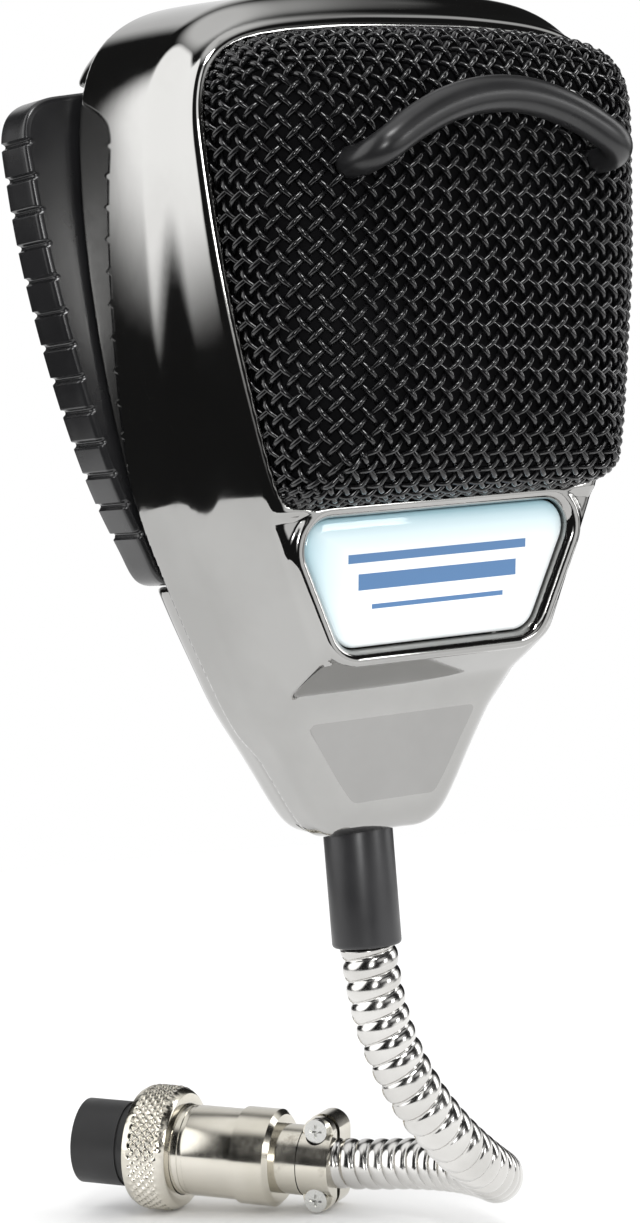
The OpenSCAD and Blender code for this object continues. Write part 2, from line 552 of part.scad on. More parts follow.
module plug_clamp_screws() {
  color("silver") frame() plug() for (s = [-1, 1]) translate([s * 5.2, 2.03, 2.45]) rotate([90, 0, 0]) screw(0.88, 6, 1.75, 1.1);
}

front_housing();
back_cover();
cover_screws();
grille_mesh();
grille_retainer();
retainer_screws();
foam_windscreen();
lip_guard();
lip_guard_screws();
name_plate();
name_plate_dome();
mic_capsule();
capsule_boot();
capsule_bracket();
capsule_screws();
ptt_lever();
ptt_pivot_pin();
ptt_spring();
switch_stack();
switch_leaves();
switch_blade();
switch_screws();
terminal_board();
board_screws();
hookup_wires();
inner_cable();
cable_clamp();
cable_clamp_screws();
strain_relief();
hang_button();
hang_button_screw();
armoured_cord();
plug_insert();
plug_contacts();
plug_shell();
plug_snap_ring();
plug_coupling_ring();
plug_collar();
plug_clamp_saddle();
plug_clamp_screws();
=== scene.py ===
import math

import bpy
import numpy as np
from mathutils import Matrix, Vector


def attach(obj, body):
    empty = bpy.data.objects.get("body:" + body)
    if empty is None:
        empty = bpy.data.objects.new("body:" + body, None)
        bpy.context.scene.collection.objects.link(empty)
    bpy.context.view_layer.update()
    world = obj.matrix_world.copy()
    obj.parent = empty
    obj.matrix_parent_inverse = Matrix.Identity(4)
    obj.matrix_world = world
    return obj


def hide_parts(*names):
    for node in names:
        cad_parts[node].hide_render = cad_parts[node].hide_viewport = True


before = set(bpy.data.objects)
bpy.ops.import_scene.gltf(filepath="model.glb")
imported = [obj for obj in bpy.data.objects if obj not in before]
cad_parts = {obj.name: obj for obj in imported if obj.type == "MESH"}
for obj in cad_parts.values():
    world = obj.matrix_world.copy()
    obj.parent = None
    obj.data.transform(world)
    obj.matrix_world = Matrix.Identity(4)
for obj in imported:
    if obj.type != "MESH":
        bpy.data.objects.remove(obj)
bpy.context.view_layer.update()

# Shapes are worked out in millimetres from the top edge of the name plate (x to the right, y to the back, z up)
# and carried to the row's frame by these offsets.
OFF = np.array([0.0, -34.0, -30.0])
SEAM = 22.0


def row_pt(p):
    return (np.asarray(p, float) + OFF) * 0.001


# ------------------------------------------------------------------ curves
def spline_closed(pts, n):
    """n points on the closed C2 cubic through pts."""
    p = np.asarray(pts, float)
    m = len(p)
    seg = np.linalg.norm(np.roll(p, -1, 0) - p, axis=1)
    t = np.concatenate([[0], np.cumsum(seg)])
    hh = seg
    a = np.zeros((m, m))
    rhs = np.zeros((m, p.shape[1]))
    for i in range(m):
        h0, h1 = hh[i - 1], hh[i]
        a[i, i - 1] += h0
        a[i, i] += 2 * (h0 + h1)
        a[i, (i + 1) % m] += h1
        rhs[i] = 6 * ((p[(i + 1) % m] - p[i]) / h1 - (p[i] - p[i - 1]) / h0)
    mm = np.linalg.solve(a, rhs)
    u = np.linspace(0, t[-1], n, endpoint=False)
    k = np.clip(np.searchsorted(t, u, side="right") - 1, 0, m - 1)
    s0 = u - t[k]
    h = hh[k]
    s1 = h - s0
    k1 = (k + 1) % m
    c = lambda v: v[:, None]
    return (
        mm[k] * c(s1**3 / (6 * h))
        + mm[k1] * c(s0**3 / (6 * h))
        + (p[k] / c(h) - mm[k] * c(h) / 6) * c(s1)
        + (p[k1] / c(h) - mm[k1] * c(h) / 6) * c(s0)
    )


def spline_open(pts, n):
    """n evenly spaced points on the natural C2 cubic through pts."""
    p = np.asarray(pts, float)
    m = len(p)
    h = np.linalg.norm(p[1:] - p[:-1], axis=1)
    t = np.concatenate([[0], np.cumsum(h)])
    a = np.zeros((m, m))
    rhs = np.zeros((m, p.shape[1]))
    a[0, 0] = a[-1, -1] = 1
    for i in range(1, m - 1):
        a[i, i - 1], a[i, i], a[i, i + 1] = h[i - 1], 2 * (h[i - 1] + h[i]), h[i]
        rhs[i] = 6 * ((p[i + 1] - p[i]) / h[i] - (p[i] - p[i - 1]) / h[i - 1])
    mm = np.linalg.solve(a, rhs)

    def at(u):
        k = np.clip(np.searchsorted(t, u, side="right") - 1, 0, m - 2)
        hk = h[k][:, None]
        s0 = (u - t[k])[:, None]
        s1 = hk - s0
        return (
            mm[k] * s1**3 / (6 * hk)
            + mm[k + 1] * s0**3 / (6 * hk)
            + (p[k] / hk - mm[k] * hk / 6) * s1
            + (p[k + 1] / hk - mm[k + 1] * hk / 6) * s0
        )

    fine = at(np.linspace(0, t[-1], 4000))
    d = np.concatenate([[0], np.cumsum(np.linalg.norm(fine[1:] - fine[:-1], axis=1))])
    u = np.interp(np.linspace(0, d[-1], n), d, np.linspace(0, t[-1], 4000))
    return at(u), float(d[-1])


def mirrored(half):
    """Closed outline from its right half, given from one point on the middle line to the other."""
    h = [tuple(q) for q in half]
    left = [(-x, z) for x, z in reversed(h) if abs(x) > 1e-6]
    return h + left


SEAM_HALF = [(0, -41), (4, -41), (7, -40.9), (9.2, -39.7), (10.8, -37.7), (13.6, -32.8), (16.4, -28), (19, -23.5),
             (20.9, -19.2), (22.6, -15.2), (24.7, -10), (26.9, -4), (28.6, 1), (30.6, 10), (32.1, 20), (33, 30),
             (33.3, 38), (33.1, 46), (32.6, 51), (31.6, 55), (29.8, 58.6), (26.8, 61.4), (22.5, 63.4), (16, 64.6), (8, 65.3), (0, 65.5)]
LIP_HALF = [(0, -40.4), (3, -40.2), (5.2, -38), (8, -33), (11, -27.6), (13.8, -22.6),
            (16.4, -17.2), (18, -13.4), (20, -8.8), (22.3, -3.4), (24.1, 1), (26.3, 9.5), (28.1, 18.5),
            (29.6, 28), (30.6, 36.5), (31.2, 44.5), (31.3, 48.5), (30.8, 51.8), (29.5, 54.8), (26.8, 57.3),
            (22.3, 59), (16, 59.9), (8, 60.4), (0, 60.5)]
OPEN_HALF = [(0, 1.6), (8, 1.6), (16, 1.6), (20, 1.65), (22, 2.1), (23.3, 3.3), (24, 5.2), (24.8, 8.7), (25.9, 14.7), (26.9, 20.7),
             (27.9, 26.7), (28.6, 33), (29.2, 40), (29.6, 45), (29.7, 48), (29.4, 50.8), (28.6, 53.1), (27, 55.2),
             (24.4, 56.7), (21, 57.5), (15.7, 58.1), (8, 58.5), (0, 58.6)]


# ------------------------------------------------------------------ distance fields
class Outline:
    """Signed distance to a closed outline in the XZ plane, kept on a fine grid and read with a cubic B-spline."""

    def __init__(self, pts, n=900, h=0.4, pad=14):
        c = spline_closed(pts, n)
        self.curve = c
        lo, hi = c.min(0) - pad, c.max(0) + pad
        self.lo, self.h = lo, h
        nx, nz = (np.ceil((hi - lo) / h).astype(int) + 1)
        gx = lo[0] + h * np.arange(nx)
        gz = lo[1] + h * np.arange(nz)
        X, Z = np.meshgrid(gx, gz, indexing="ij")
        P = np.stack([X.ravel(), Z.ravel()], 1).astype(np.float32)
        A = c.astype(np.float32)
        B = np.roll(c, -1, 0).astype(np.float32)
        best = np.full(len(P), 1e9, np.float32)
        cross = np.zeros(len(P), bool)
        for i in range(0, n, 30):
            a, b = A[i : i + 30], B[i : i + 30]
            ab = b - a
            ap = P[:, None] - a[None]
            t = np.clip((ap * ab).sum(2) / (ab * ab).sum(1), 0, 1)
            d = ap - t[..., None] * ab
            best = np.minimum(best, (d * d).sum(2).min(1))
            up = (a[:, 1] > P[:, None, 1]) != (b[:, 1] > P[:, None, 1])
            with np.errstate(divide="ignore", invalid="ignore"):
                xc = a[:, 0] + (P[:, None, 1] - a[:, 1]) * ab[:, 0] / ab[:, 1]
            cross ^= (np.sum(up & (P[:, None, 0] < xc), axis=1) % 2).astype(bool)
        self.g = np.where(cross, -np.sqrt(best), np.sqrt(best)).reshape(nx, nz)

    def on(self, x, z):
        """On a grid of x and z values: array (len(x), len(z))."""
        i = (np.asarray(x) - self.lo[0]) / self.h
        k = (np.asarray(z) - self.lo[1]) / self.h
        return _bs1(_bs1(self.g, i, 0), k, 1)

    def at(self, x, z):
        """At scattered points, with the gradient."""
        u = np.clip((x - self.lo[0]) / self.h, 1, self.g.shape[0] - 3)
        w = np.clip((z - self.lo[1]) / self.h, 1, self.g.shape[1] - 3)
        iu, iw = np.floor(u).astype(int), np.floor(w).astype(int)
        wu, du = _w(u - iu)
        ww, dw = _w(w - iw)
        v = gx = gz = 0
        for a in range(4):
            for b in range(4):
                s = self.g[iu + a - 1, iw + b - 1]
                v = v + wu[a] * ww[b] * s
                gx = gx + du[a] * ww[b] * s
                gz = gz + wu[a] * dw[b] * s
        return v, gx / self.h, gz / self.h


def _w(f):
    w = [(1 - f) ** 3 / 6, (3 * f**3 - 6 * f**2 + 4) / 6, (-3 * f**3 + 3 * f**2 + 3 * f + 1) / 6, f**3 / 6]
    d = [-((1 - f) ** 2) / 2, (9 * f**2 - 12 * f) / 6, (-9 * f**2 + 6 * f + 3) / 6, f**2 / 2]
    return w, d


def _bs1(g, u, axis):
    u = np.clip(u, 1, g.shape[axis] - 3)
    i = np.floor(u).astype(int)
    w, _ = _w(u - i)
    out = 0
    for a in range(4):
        s = np.take(g, i + a - 1, axis=axis)
        shape = [1] * s.ndim
        shape[axis] = -1
        out = out + s * w[a].reshape(shape)
    return out


def rmax(a, b, r):
    """Intersection of two fields with a round edge of radius r."""
    return np.minimum(-r, np.maximum(a, b)) + np.sqrt(np.maximum(r + a, 0) ** 2 + np.maximum(r + b, 0) ** 2)


def rmin(a, b, r):
    """Union of two fields with a fillet of radius r."""
    return np.maximum(r, np.minimum(a, b)) - np.sqrt(np.maximum(r - a, 0) ** 2 + np.maximum(r - b, 0) ** 2)


def poly_sd(pts, x, z):
    """Signed distance to a small polygon."""
    p = np.asarray(pts, float)
    best = np.full(np.broadcast(x, z).shape, 1e9)
    inside = np.zeros(best.shape, bool)
    for a, b in zip(p, np.roll(p, -1, 0)):
        ab = b - a
        t = np.clip(((x - a[0]) * ab[0] + (z - a[1]) * ab[1]) / (ab @ ab), 0, 1)
        best = np.minimum(best, (x - a[0] - t * ab[0]) ** 2 + (z - a[1] - t * ab[1]) ** 2)
        if abs(ab[1]) > 1e-9:
            inside ^= ((a[1] > z) != (b[1] > z)) & (x < a[0] + (z - a[1]) * ab[0] / ab[1])
    return np.where(inside, -np.sqrt(best), np.sqrt(best))


def field_mesh(name, fn, lo, hi, h):
    """The zero surface of a distance field as a mesh with exact smooth normals."""
    lo, hi = np.asarray(lo, float), np.asarray(hi, float)
    n = np.ceil((hi - lo) / h).astype(int) + 1
    gx, gy, gz = (lo[i] + h * np.arange(n[i]) for i in range(3))
    F = fn(gx, gy, gz).astype(np.float32)
    ins = F < 0
    nx, ny, nz = F.shape
    s = np.zeros((nx - 1, ny - 1, nz - 1), np.int8)
    corner = [(i, j, k) for i in (0, 1) for j in (0, 1) for k in (0, 1)]
    for i, j, k in corner:
        s += ins[i : nx - 1 + i, j : ny - 1 + j, k : nz - 1 + k]
    act = (s > 0) & (s < 8)
    idx = -np.ones(act.shape, np.int64)
    cells = np.argwhere(act)
    idx[act] = np.arange(len(cells))
    pos = np.zeros((len(cells), 3))
    cnt = np.zeros(len(cells))
    val = {c: F[cells[:, 0] + c[0], cells[:, 1] + c[1], cells[:, 2] + c[2]] for c in corner}
    for c in corner:
        for ax in range(3):
            if c[ax] == 0:
                d = list(c)
                d[ax] = 1
                a, b = val[c], val[tuple(d)]
                hit = (a < 0) != (b < 0)
                t = np.where(hit, a / np.where(hit, a - b, 1), 0)
                q = np.tile(np.array(c, float), (len(cells), 1))
                q[:, ax] = t
                pos += q * hit[:, None]
                cnt += hit
    pos = cells + pos / cnt[:, None]
    faces = []
    for ax in range(3):
        o = [a for a in range(3) if a != ax]
        sl0 = [slice(1, -1)] * 3
        sl1 = [slice(1, -1)] * 3
        sl0[ax], sl1[ax] = slice(0, -1), slice(1, None)
        a, b = ins[tuple(sl0)], ins[tuple(sl1)]
        e = np.argwhere(a != b)
        base = e.copy()
        base[:, o[0]] += 1
        base[:, o[1]] += 1
        q = []
        for du, dv in ((1, 1), (0, 1), (0, 0), (1, 0)):
            c = base.copy()
            c[:, o[0]] -= du
            c[:, o[1]] -= dv
            q.append(idx[c[:, 0], c[:, 1], c[:, 2]])
        q = np.stack(q, 1)
        flip = a[tuple(e.T)]
        if ax == 1:
            flip = ~flip
        q[~flip] = q[~flip][:, ::-1]
        faces.append(q)
    faces = np.concatenate(faces)

    def ev(p):
        p = np.clip(p, 1, np.array([nx, ny, nz]) - 3)
        i = np.floor(p).astype(int)
        f = p - i
        (wx, dx), (wy, dy), (wz, dz) = _w(f[:, 0]), _w(f[:, 1]), _w(f[:, 2])
        v = np.zeros(len(p))
        g = np.zeros((len(p), 3))
        for a in range(4):
            for b in range(4):
                for c in range(4):
                    s = F[i[:, 0] + a - 1, i[:, 1] + b - 1, i[:, 2] + c - 1]
                    v += wx[a] * wy[b] * wz[c] * s
                    g[:, 0] += dx[a] * wy[b] * wz[c] * s
                    g[:, 1] += wx[a] * dy[b] * wz[c] * s
                    g[:, 2] += wx[a] * wy[b] * dz[c] * s
        return v, g

    for _ in range(3):
        v, g = ev(pos)
        g2 = np.maximum((g * g).sum(1), 1e-4)
        step = -(v / g2)[:, None] * g
        ln = np.linalg.norm(step, axis=1)
        step *= np.minimum(1, 0.6 / np.maximum(ln, 1e-9))[:, None]
        pos = pos + step
    v, g = ev(pos)
    nrm = g / np.maximum(np.linalg.norm(g, axis=1), 1e-6)[:, None]
    return make(name, lo + pos * h, faces, nrm)


def make(name, verts_mm, faces, normals=None, smooth=True):
    """A mesh object in the row's frame from points in drawing millimetres."""
    me = bpy.data.meshes.new(name)
    v = row_pt(verts_mm)
    f = np.asarray(faces)
    me.vertices.add(len(v))
    me.vertices.foreach_set("co", v.astype(np.float32).ravel())
    me.loops.add(f.size)
    me.loops.foreach_set("vertex_index", f.astype(np.int32).ravel())
    me.polygons.add(len(f))
    k = f.shape[1]
    me.polygons.foreach_set("loop_start", (np.arange(len(f)) * k).astype(np.int32))
    me.polygons.foreach_set("use_smooth", np.full(len(f), bool(smooth)))
    me.update(calc_edges=True)
    me.validate()
    if normals is not None and len(me.vertices) == len(normals):
        me.normals_split_custom_set_from_vertices([tuple(q) for q in normals])
    ob = bpy.data.objects.new(name, me)
    bpy.context.scene.collection.objects.link(ob)
    return ob


def join_parts(parts):
    """(verts, faces) lists of quads into one."""
    vs, fs, n = [], [], 0
    for v, f in parts:
        vs.append(np.asarray(v, float))
        fs.append(np.asarray(f) + n)
        n += len(v)
    return np.concatenate(vs), np.concatenate(fs)


def grid_faces(m, n, wrap_n=True, wrap_m=False):
    """Quads of an m by n grid of points, n wrapping round."""
    i = np.arange(m if wrap_m else m - 1)
    j = np.arange(n if wrap_n else n - 1)
    I, J = np.meshgrid(i, j, indexing="ij")
    I2, J2 = (I + 1) % m, (J + 1) % n
    return np.stack([I * n + J, I * n + J2, I2 * n + J2, I2 * n + J], -1).reshape(-1, 4)


def sharpen(ob, deg=35):
    """Marks edges over that angle sharp."""
    import bmesh

    bm = bmesh.new()
    bm.from_mesh(ob.data)
    bmesh.ops.recalc_face_normals(bm, faces=bm.faces)
    lim = math.radians(deg)
    for e in bm.edges:
        if len(e.link_faces) == 2:
            e.smooth = e.calc_face_angle(0) < lim
    for f in bm.faces:
        f.smooth = True
    bm.to_mesh(ob.data)
    bm.free()
    return ob


def frames(c):
    """Tangent and two normals along an open line, without twist."""
    t = np.gradient(c, axis=0)
    t /= np.linalg.norm(t, axis=1)[:, None]
    a = np.zeros_like(t)
    ref = np.array([1.0, 0, 0.2]) if abs(t[0][0]) < 0.8 else np.array([0, 0, 1.0])
    a[0] = ref - (ref @ t[0]) * t[0]
    a[0] /= np.linalg.norm(a[0])
    for i in range(1, len(c)):
        v = a[i - 1] - (a[i - 1] @ t[i]) * t[i]
        a[i] = v / np.linalg.norm(v)
    return t, a, np.cross(t, a)


def sweep(c, r, n, caps=True):
    """A tube along c; r is a number, one per ring, or rings by sides."""
    t, a, b = frames(c)
    m = len(c)
    r = np.broadcast_to(np.asarray(r, float).reshape((-1, 1)) if np.ndim(r) == 1 else r, (m, n))
    ph = 2 * math.pi * np.arange(n) / n
    P = c[:, None] + r[..., None] * (np.cos(ph)[None, :, None] * a[:, None] + np.sin(ph)[None, :, None] * b[:, None])
    V = P.reshape(-1, 3)
    F = grid_faces(m, n)
    if caps:
        V = np.concatenate([V, c[:1], c[-1:]])
        k = np.arange(n)
        c0 = np.stack([np.full(n, m * n), (k + 1) % n, k, k], 1)
        c1 = np.stack([np.full(n, m * n + 1), (m - 1) * n + k, (m - 1) * n + (k + 1) % n, (m - 1) * n + (k + 1) % n], 1)
        return V, F, c0[:, :3], c1[:, :3]
    return V, F


def make_poly(name, verts_mm, polys, smooth=True):
    """A mesh object from polygons of any size."""
    me = bpy.data.meshes.new(name)
    me.from_pydata([tuple(p) for p in row_pt(verts_mm)], [], [tuple(int(i) for i in f) for f in polys])
    me.polygons.foreach_set("use_smooth", [smooth] * len(me.polygons))
    me.update()
    ob = bpy.data.objects.new(name, me)
    bpy.context.scene.collection.objects.link(ob)
    return ob


def make_tube(name, c, r, n):
    V, F, a, b = sweep(c, r, n)
    return make_poly(name, V, [*F.tolist(), *a.tolist(), *b.tolist()])


def bevel(ob, width_mm, seg=3, deg=32):
    m = ob.modifiers.new("bevel", "BEVEL")
    m.width = width_mm * 0.001
    m.segments = seg
    m.limit_method = "ANGLE"
    m.angle_limit = math.radians(deg)
    m.harden_normals = False
    return ob


# ------------------------------------------------------------------ materials
def shader(name):
    m = bpy.data.materials.new(name)
    m.use_nodes = True
    nt = m.node_tree
    return m, nt, nt.nodes["Principled BSDF"]


def _noise(nt, scale, detail=4, rough=0.55, stretch=None, src="Object"):
    tc = nt.nodes.new("ShaderNodeTexCoord")
    mp = nt.nodes.new("ShaderNodeMapping")
    if stretch:
        mp.inputs["Scale"].default_value = stretch
    nt.links.new(tc.outputs[src], mp.inputs[0])
    no = nt.nodes.new("ShaderNodeTexNoise")
    no.inputs["Scale"].default_value = scale
    no.inputs["Detail"].default_value = detail
    no.inputs["Roughness"].default_value = rough
    nt.links.new(mp.outputs[0], no.inputs["Vector"])
    return no.outputs["Fac"]


def _ramp(nt, fac, stops, interp="LINEAR"):
    r = nt.nodes.new("ShaderNodeValToRGB")
    r.color_ramp.interpolation = interp
    el = r.color_ramp.elements
    while len(el) > 1:
        el.remove(el[-1])
    el[0].position, el[0].color = stops[0][0], (*stops[0][1], 1)
    for p, c in stops[1:]:
        e = el.new(p)
        e.color = (*c, 1)
    nt.links.new(fac, r.inputs[0])
    return r.outputs[0]


def _math(nt, op, a, b=None, clamp=False):
    n = nt.nodes.new("ShaderNodeMath")
    n.operation = op
    n.use_clamp = clamp
    for i, v in enumerate((a, b)):
        if v is None:
            continue
        if isinstance(v, (int, float)):
            n.inputs[i].default_value = v
        else:
            nt.links.new(v, n.inputs[i])
    return n.outputs[0]


def _mix(nt, fac, a, b):
    n = nt.nodes.new("ShaderNodeMix")
    n.data_type = "RGBA"
    nt.links.new(fac, n.inputs[0]) if not isinstance(fac, (int, float)) else setattr(n.inputs[0], "default_value", fac)
    for s, v in ((6, a), (7, b)):
        if isinstance(v, tuple):
            n.inputs[s].default_value = (*v, 1)
        else:
            nt.links.new(v, n.inputs[s])
    return n.outputs[2]


def _bump(nt, p, height, strength, dist):
    b = nt.nodes.new("ShaderNodeBump")
    b.inputs["Strength"].default_value = strength
    b.inputs["Distance"].default_value = dist
    nt.links.new(height, b.inputs["Height"])
    nt.links.new(b.outputs[0], p.inputs["Normal"])
    return b


def metal(name, base, dark, rough=(0.05, 0.14), scratch=0.04, scale=260, wear=None):
    m, nt, p = shader(name)
    p.inputs["Metallic"].default_value = 1.0
    big = _noise(nt, 45, 5)
    col = _ramp(nt, big, [(0.35, dark), (0.62, base)])
    if wear:
        w = _noise(nt, 120, 6, 0.7)
        col = _mix(nt, _ramp(nt, w, [(0.62, (0, 0, 0)), (0.72, (1, 1, 1))]), col, wear)
    nt.links.new(col, p.inputs["Base Color"])
    r = _noise(nt, scale, 6, 0.6)
    rr = nt.nodes.new("ShaderNodeMapRange")
    rr.inputs["From Min"].default_value, rr.inputs["From Max"].default_value = 0.3, 0.75
    rr.inputs["To Min"].default_value, rr.inputs["To Max"].default_value = rough
    nt.links.new(r, rr.inputs["Value"])
    nt.links.new(rr.outputs[0], p.inputs["Roughness"])
    s = _noise(nt, 900, 3, 0.6, (1, 1, 0.06))
    _bump(nt, p, s, scratch, 0.00004)
    return m


def plastic(name, base, light, rough=(0.3, 0.45), grain=0.15, scale=1500, spec=0.5, coat=0.0):
    m, nt, p = shader(name)
    big = _noise(nt, 60, 5)
    nt.links.new(_ramp(nt, big, [(0.3, base), (0.75, light)]), p.inputs["Base Color"])
    r = _noise(nt, 180, 5)
    rr = nt.nodes.new("ShaderNodeMapRange")
    rr.inputs["From Min"].default_value, rr.inputs["From Max"].default_value = 0.3, 0.75
    rr.inputs["To Min"].default_value, rr.inputs["To Max"].default_value = rough
    nt.links.new(r, rr.inputs["Value"])
    nt.links.new(rr.outputs[0], p.inputs["Roughness"])
    p.inputs["Specular IOR Level"].default_value = spec
    p.inputs["Coat Weight"].default_value = coat
    p.inputs["Coat Roughness"].default_value = 0.08
    _bump(nt, p, _noise(nt, scale, 3), grain, 0.00003)
    return m


CHROME = metal("polished_chrome", (0.40, 0.397, 0.388), (0.355, 0.352, 0.343), (0.035, 0.085), 0.02)
NICKEL = metal("bright_nickel", (0.70, 0.67, 0.60), (0.58, 0.55, 0.47), (0.10, 0.24), 0.08, wear=(0.45, 0.42, 0.36))
ARMOUR = metal("armour_steel", (0.70, 0.69, 0.67), (0.52, 0.51, 0.49), (0.12, 0.24), 0.10)
STEEL = metal("plated_screw_steel", (0.66, 0.66, 0.64), (0.5, 0.5, 0.48), (0.2, 0.35), 0.1)
BRASSY = metal("bronze_brass", (0.78, 0.58, 0.28), (0.6, 0.42, 0.2), (0.25, 0.4), 0.1)
WIRE = plastic("gloss_black_wire", (0.003, 0.003, 0.0035), (0.007, 0.007, 0.0075), (0.12, 0.22), 0.05, 900, 0.4, coat=0.5)
BACKING = plastic("matt_black_cloth", (0.004, 0.004, 0.0045), (0.010, 0.010, 0.011), (0.8, 0.95), 0.6, 2500, 0.1)
LEVER = plastic("lever_black", (0.006, 0.006, 0.0065), (0.013, 0.013, 0.014), (0.20, 0.30), 0.10, 1300, 0.6)
GUARD = plastic("satin_black", (0.008, 0.008, 0.0085), (0.018, 0.018, 0.019), (0.26, 0.38), 0.08, 1400, 0.5)
SLEEVE = plastic("sleeve_black", (0.012, 0.012, 0.013), (0.028, 0.028, 0.030), (0.30, 0.42), 0.2, 1100, 0.5)
INSERT = plastic("insert_black", (0.012, 0.012, 0.012), (0.025, 0.025, 0.026), (0.35, 0.5), 0.2, 900, 0.4)
BROWN = plastic("phenolic_brown", (0.14, 0.06, 0.025), (0.22, 0.10, 0.045), (0.4, 0.6), 0.3, 900)
RUBBER = plastic("rubber_black", (0.012, 0.012, 0.012), (0.03, 0.03, 0.03), (0.6, 0.8), 0.4, 1600, 0.3)


# ------------------------------------------------------------------ shells
seam_o, lip_o, open_o = Outline(mirrored(SEAM_HALF)), Outline(mirrored(LIP_HALF)), Outline(mirrored(OPEN_HALF))
TILT = math.radians(8.8)
PLATE = [(-20.2 + 3.5, -3.5), (20.2 - 3.5 - 0.5, -3.5), (14.3 - 2.2, -16.3 + 3.5), (-14.3 + 2.2, -16.3 + 3.5)]
PLATE[0] = (-(20.2 - 3.5 - 0.5), -3.5)


def plate_local(y, z):
    """Height above the name plate's plane, and distance up along it."""
    return -math.cos(TILT) * y - math.sin(TILT) * z, math.cos(TILT) * z - math.sin(TILT) * y


def plate_sd(x, v):
    return poly_sd(PLATE, x, v) - 3.5


def housing_field(gx, gy, gz):
    ds = seam_o.on(gx, gz)[:, None, :]
    dl = lip_o.on(gx, gz)[:, None, :]
    do = open_o.on(gx, gz)[:, None, :]
    X, Y, Z = gx[:, None, None], gy[None, :, None], gz[None, None, :]
    t = np.clip((Y + 2) / (SEAM + 2), 0, 1.05)
    d = (1 - t) * dl + t * ds - 2.8 * np.clip(t * (1 - t), 0, 1)
    s = np.clip((Z - 0.1) / 1.1, 0, 1)
    front = -1.06 + 0.16 * np.maximum(0.4 - Z, 0) - 0.94 * s * s * (3 - 2 * s)
    under = -0.478 * (Y - 3) - 0.879 * (Z + 17.8)
    block = rmax(rmax(d, front - Y, 1.15), under, 1.5)
    neck_front = 12.2 + (-23 - Z) * 0.137
    neck = rmax(ds + 0.05 * (SEAM - Y), (neck_front - Y) * 0.99, 4.2)
    u = rmin(block, neck, 2.6)
    w, v = plate_local(Y, Z)
    dp = plate_sd(X, v)
    bead = np.sqrt((dp - 1.35) ** 2 + (w - 0.85) ** 2) - 0.95
    u = rmin(u, bead, 0.25)
    f = rmax(u, -np.maximum(do, Y - 4), 0.3)
    f = rmax(f, -np.maximum(dp - 0.12, -(w + 1.1)), 0.15)
    f = np.maximum(f, -np.maximum(u + 2.0, 4 - Y))
    return rmax(f, Y - SEAM, 0.25)


def cover_field(gx, gy, gz):
    ds = seam_o.on(gx, gz)[:, None, :]
    X, Y, Z = gx[:, None, None], gy[None, :, None], gz[None, None, :]
    q = np.clip((Y - SEAM - 0.12) / 8.88, 0, 1)
    off = 0.3 + 0.6 * q
    u = rmax(ds + off, Y - (SEAM + 9), 6.0)
    f = np.maximum(u, -np.maximum(u + 2.0, (SEAM + 8) - Y - 20))
    # posts and counterbores of the four cover screws
    hole = np.full((len(gx), 1, len(gz)), 99.0)
    for cx_, cz_ in ((-19.5, 56.2), (19.5, 56.2), (-11.0, -18.5), (11.0, -18.5)):
        hole = np.minimum(hole, np.sqrt((X - cx_) ** 2 + (Z - cz_) ** 2))
    f = np.minimum(f, np.maximum(hole - 3.6, u + 0.5))
    f = rmax(f, -np.maximum(hole - 2.7, (SEAM + 5) - Y), 0.2)
    lower = np.maximum(np.maximum(X + 19.2, Z - 31), -Z - 7.1)
    upper = np.maximum(np.maximum(X + 23.2, Z - 56), -Z - 7.1)
    slot_ = np.maximum(np.minimum(lower, upper), Y - (SEAM + 8.4))
    f = rmax(f, -slot_, 0.3)
    return rmax(f, SEAM + 0.12 - Y, 0.25)


H_RES = 0.5
housing = field_mesh("housing_shell", housing_field, (-35, -4, -43), (35, 23, 67.5), H_RES)
housing.data.materials.append(CHROME)
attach(housing, "housing")
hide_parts("front_housing")

cover = field_mesh("cover_shell", cover_field, (-35, 21, -43), (35, 32, 67.5), H_RES)
cover.data.materials.append(CHROME)
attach(cover, "housing")
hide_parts("back_cover")

# ------------------------------------------------------------------ grille
RISE_Y = np.array([0.0, -2, -6, -8.5, -10.3, -12, -13.2, -14, -14.55, -14.85, -15.0, -15.05])
RISE_S = np.array([0.12, 0.25, 0.85, 1.8, 3.2, 5.0, 7.2, 9.6, 12.2, 15.5, 19.5, 24.0])
_f, _len = spline_open(np.stack([RISE_S, RISE_Y], 1), 400)
_arc = np.concatenate([[0], np.cumsum(np.linalg.norm(_f[1:] - _f[:-1], axis=1))])
BLANK = _arc[np.argmin(abs(_f[:, 0] - 16))] - 16


def on_dome(x, z, lift=0.0):
    """Points of the flat blank carried onto the grille: place, and how far from the rim along the wire."""
    d, nx, nz = open_o.at(x, z)
    n = np.maximum(np.hypot(nx, nz), 1e-6)
    a = np.clip(BLANK - d, -2, _arc[-1])
    s = np.interp(a, _arc, _f[:, 0])
    y = np.interp(a, _arc, _f[:, 1])
    ds = np.gradient(_f[:, 0], _arc)
    dy = np.gradient(_f[:, 1], _arc)
    ts, ty = np.interp(a, _arc, ds), np.interp(a, _arc, dy)
    move = np.where(a < _arc[-1] - 0.01, d + s, 0.0)
    ux, uz = nx / n, nz / n
    px, pz = x - ux * move, z - uz * move
    # outward normal: in-plane part along (ux, uz), depth part towards -y
    k = np.hypot(ts, ty)
    out_in, out_y = -ty / k, -ts / k
    return np.stack([px + lift * out_in * ux, y + lift * out_y, pz + lift * out_in * uz], -1), a


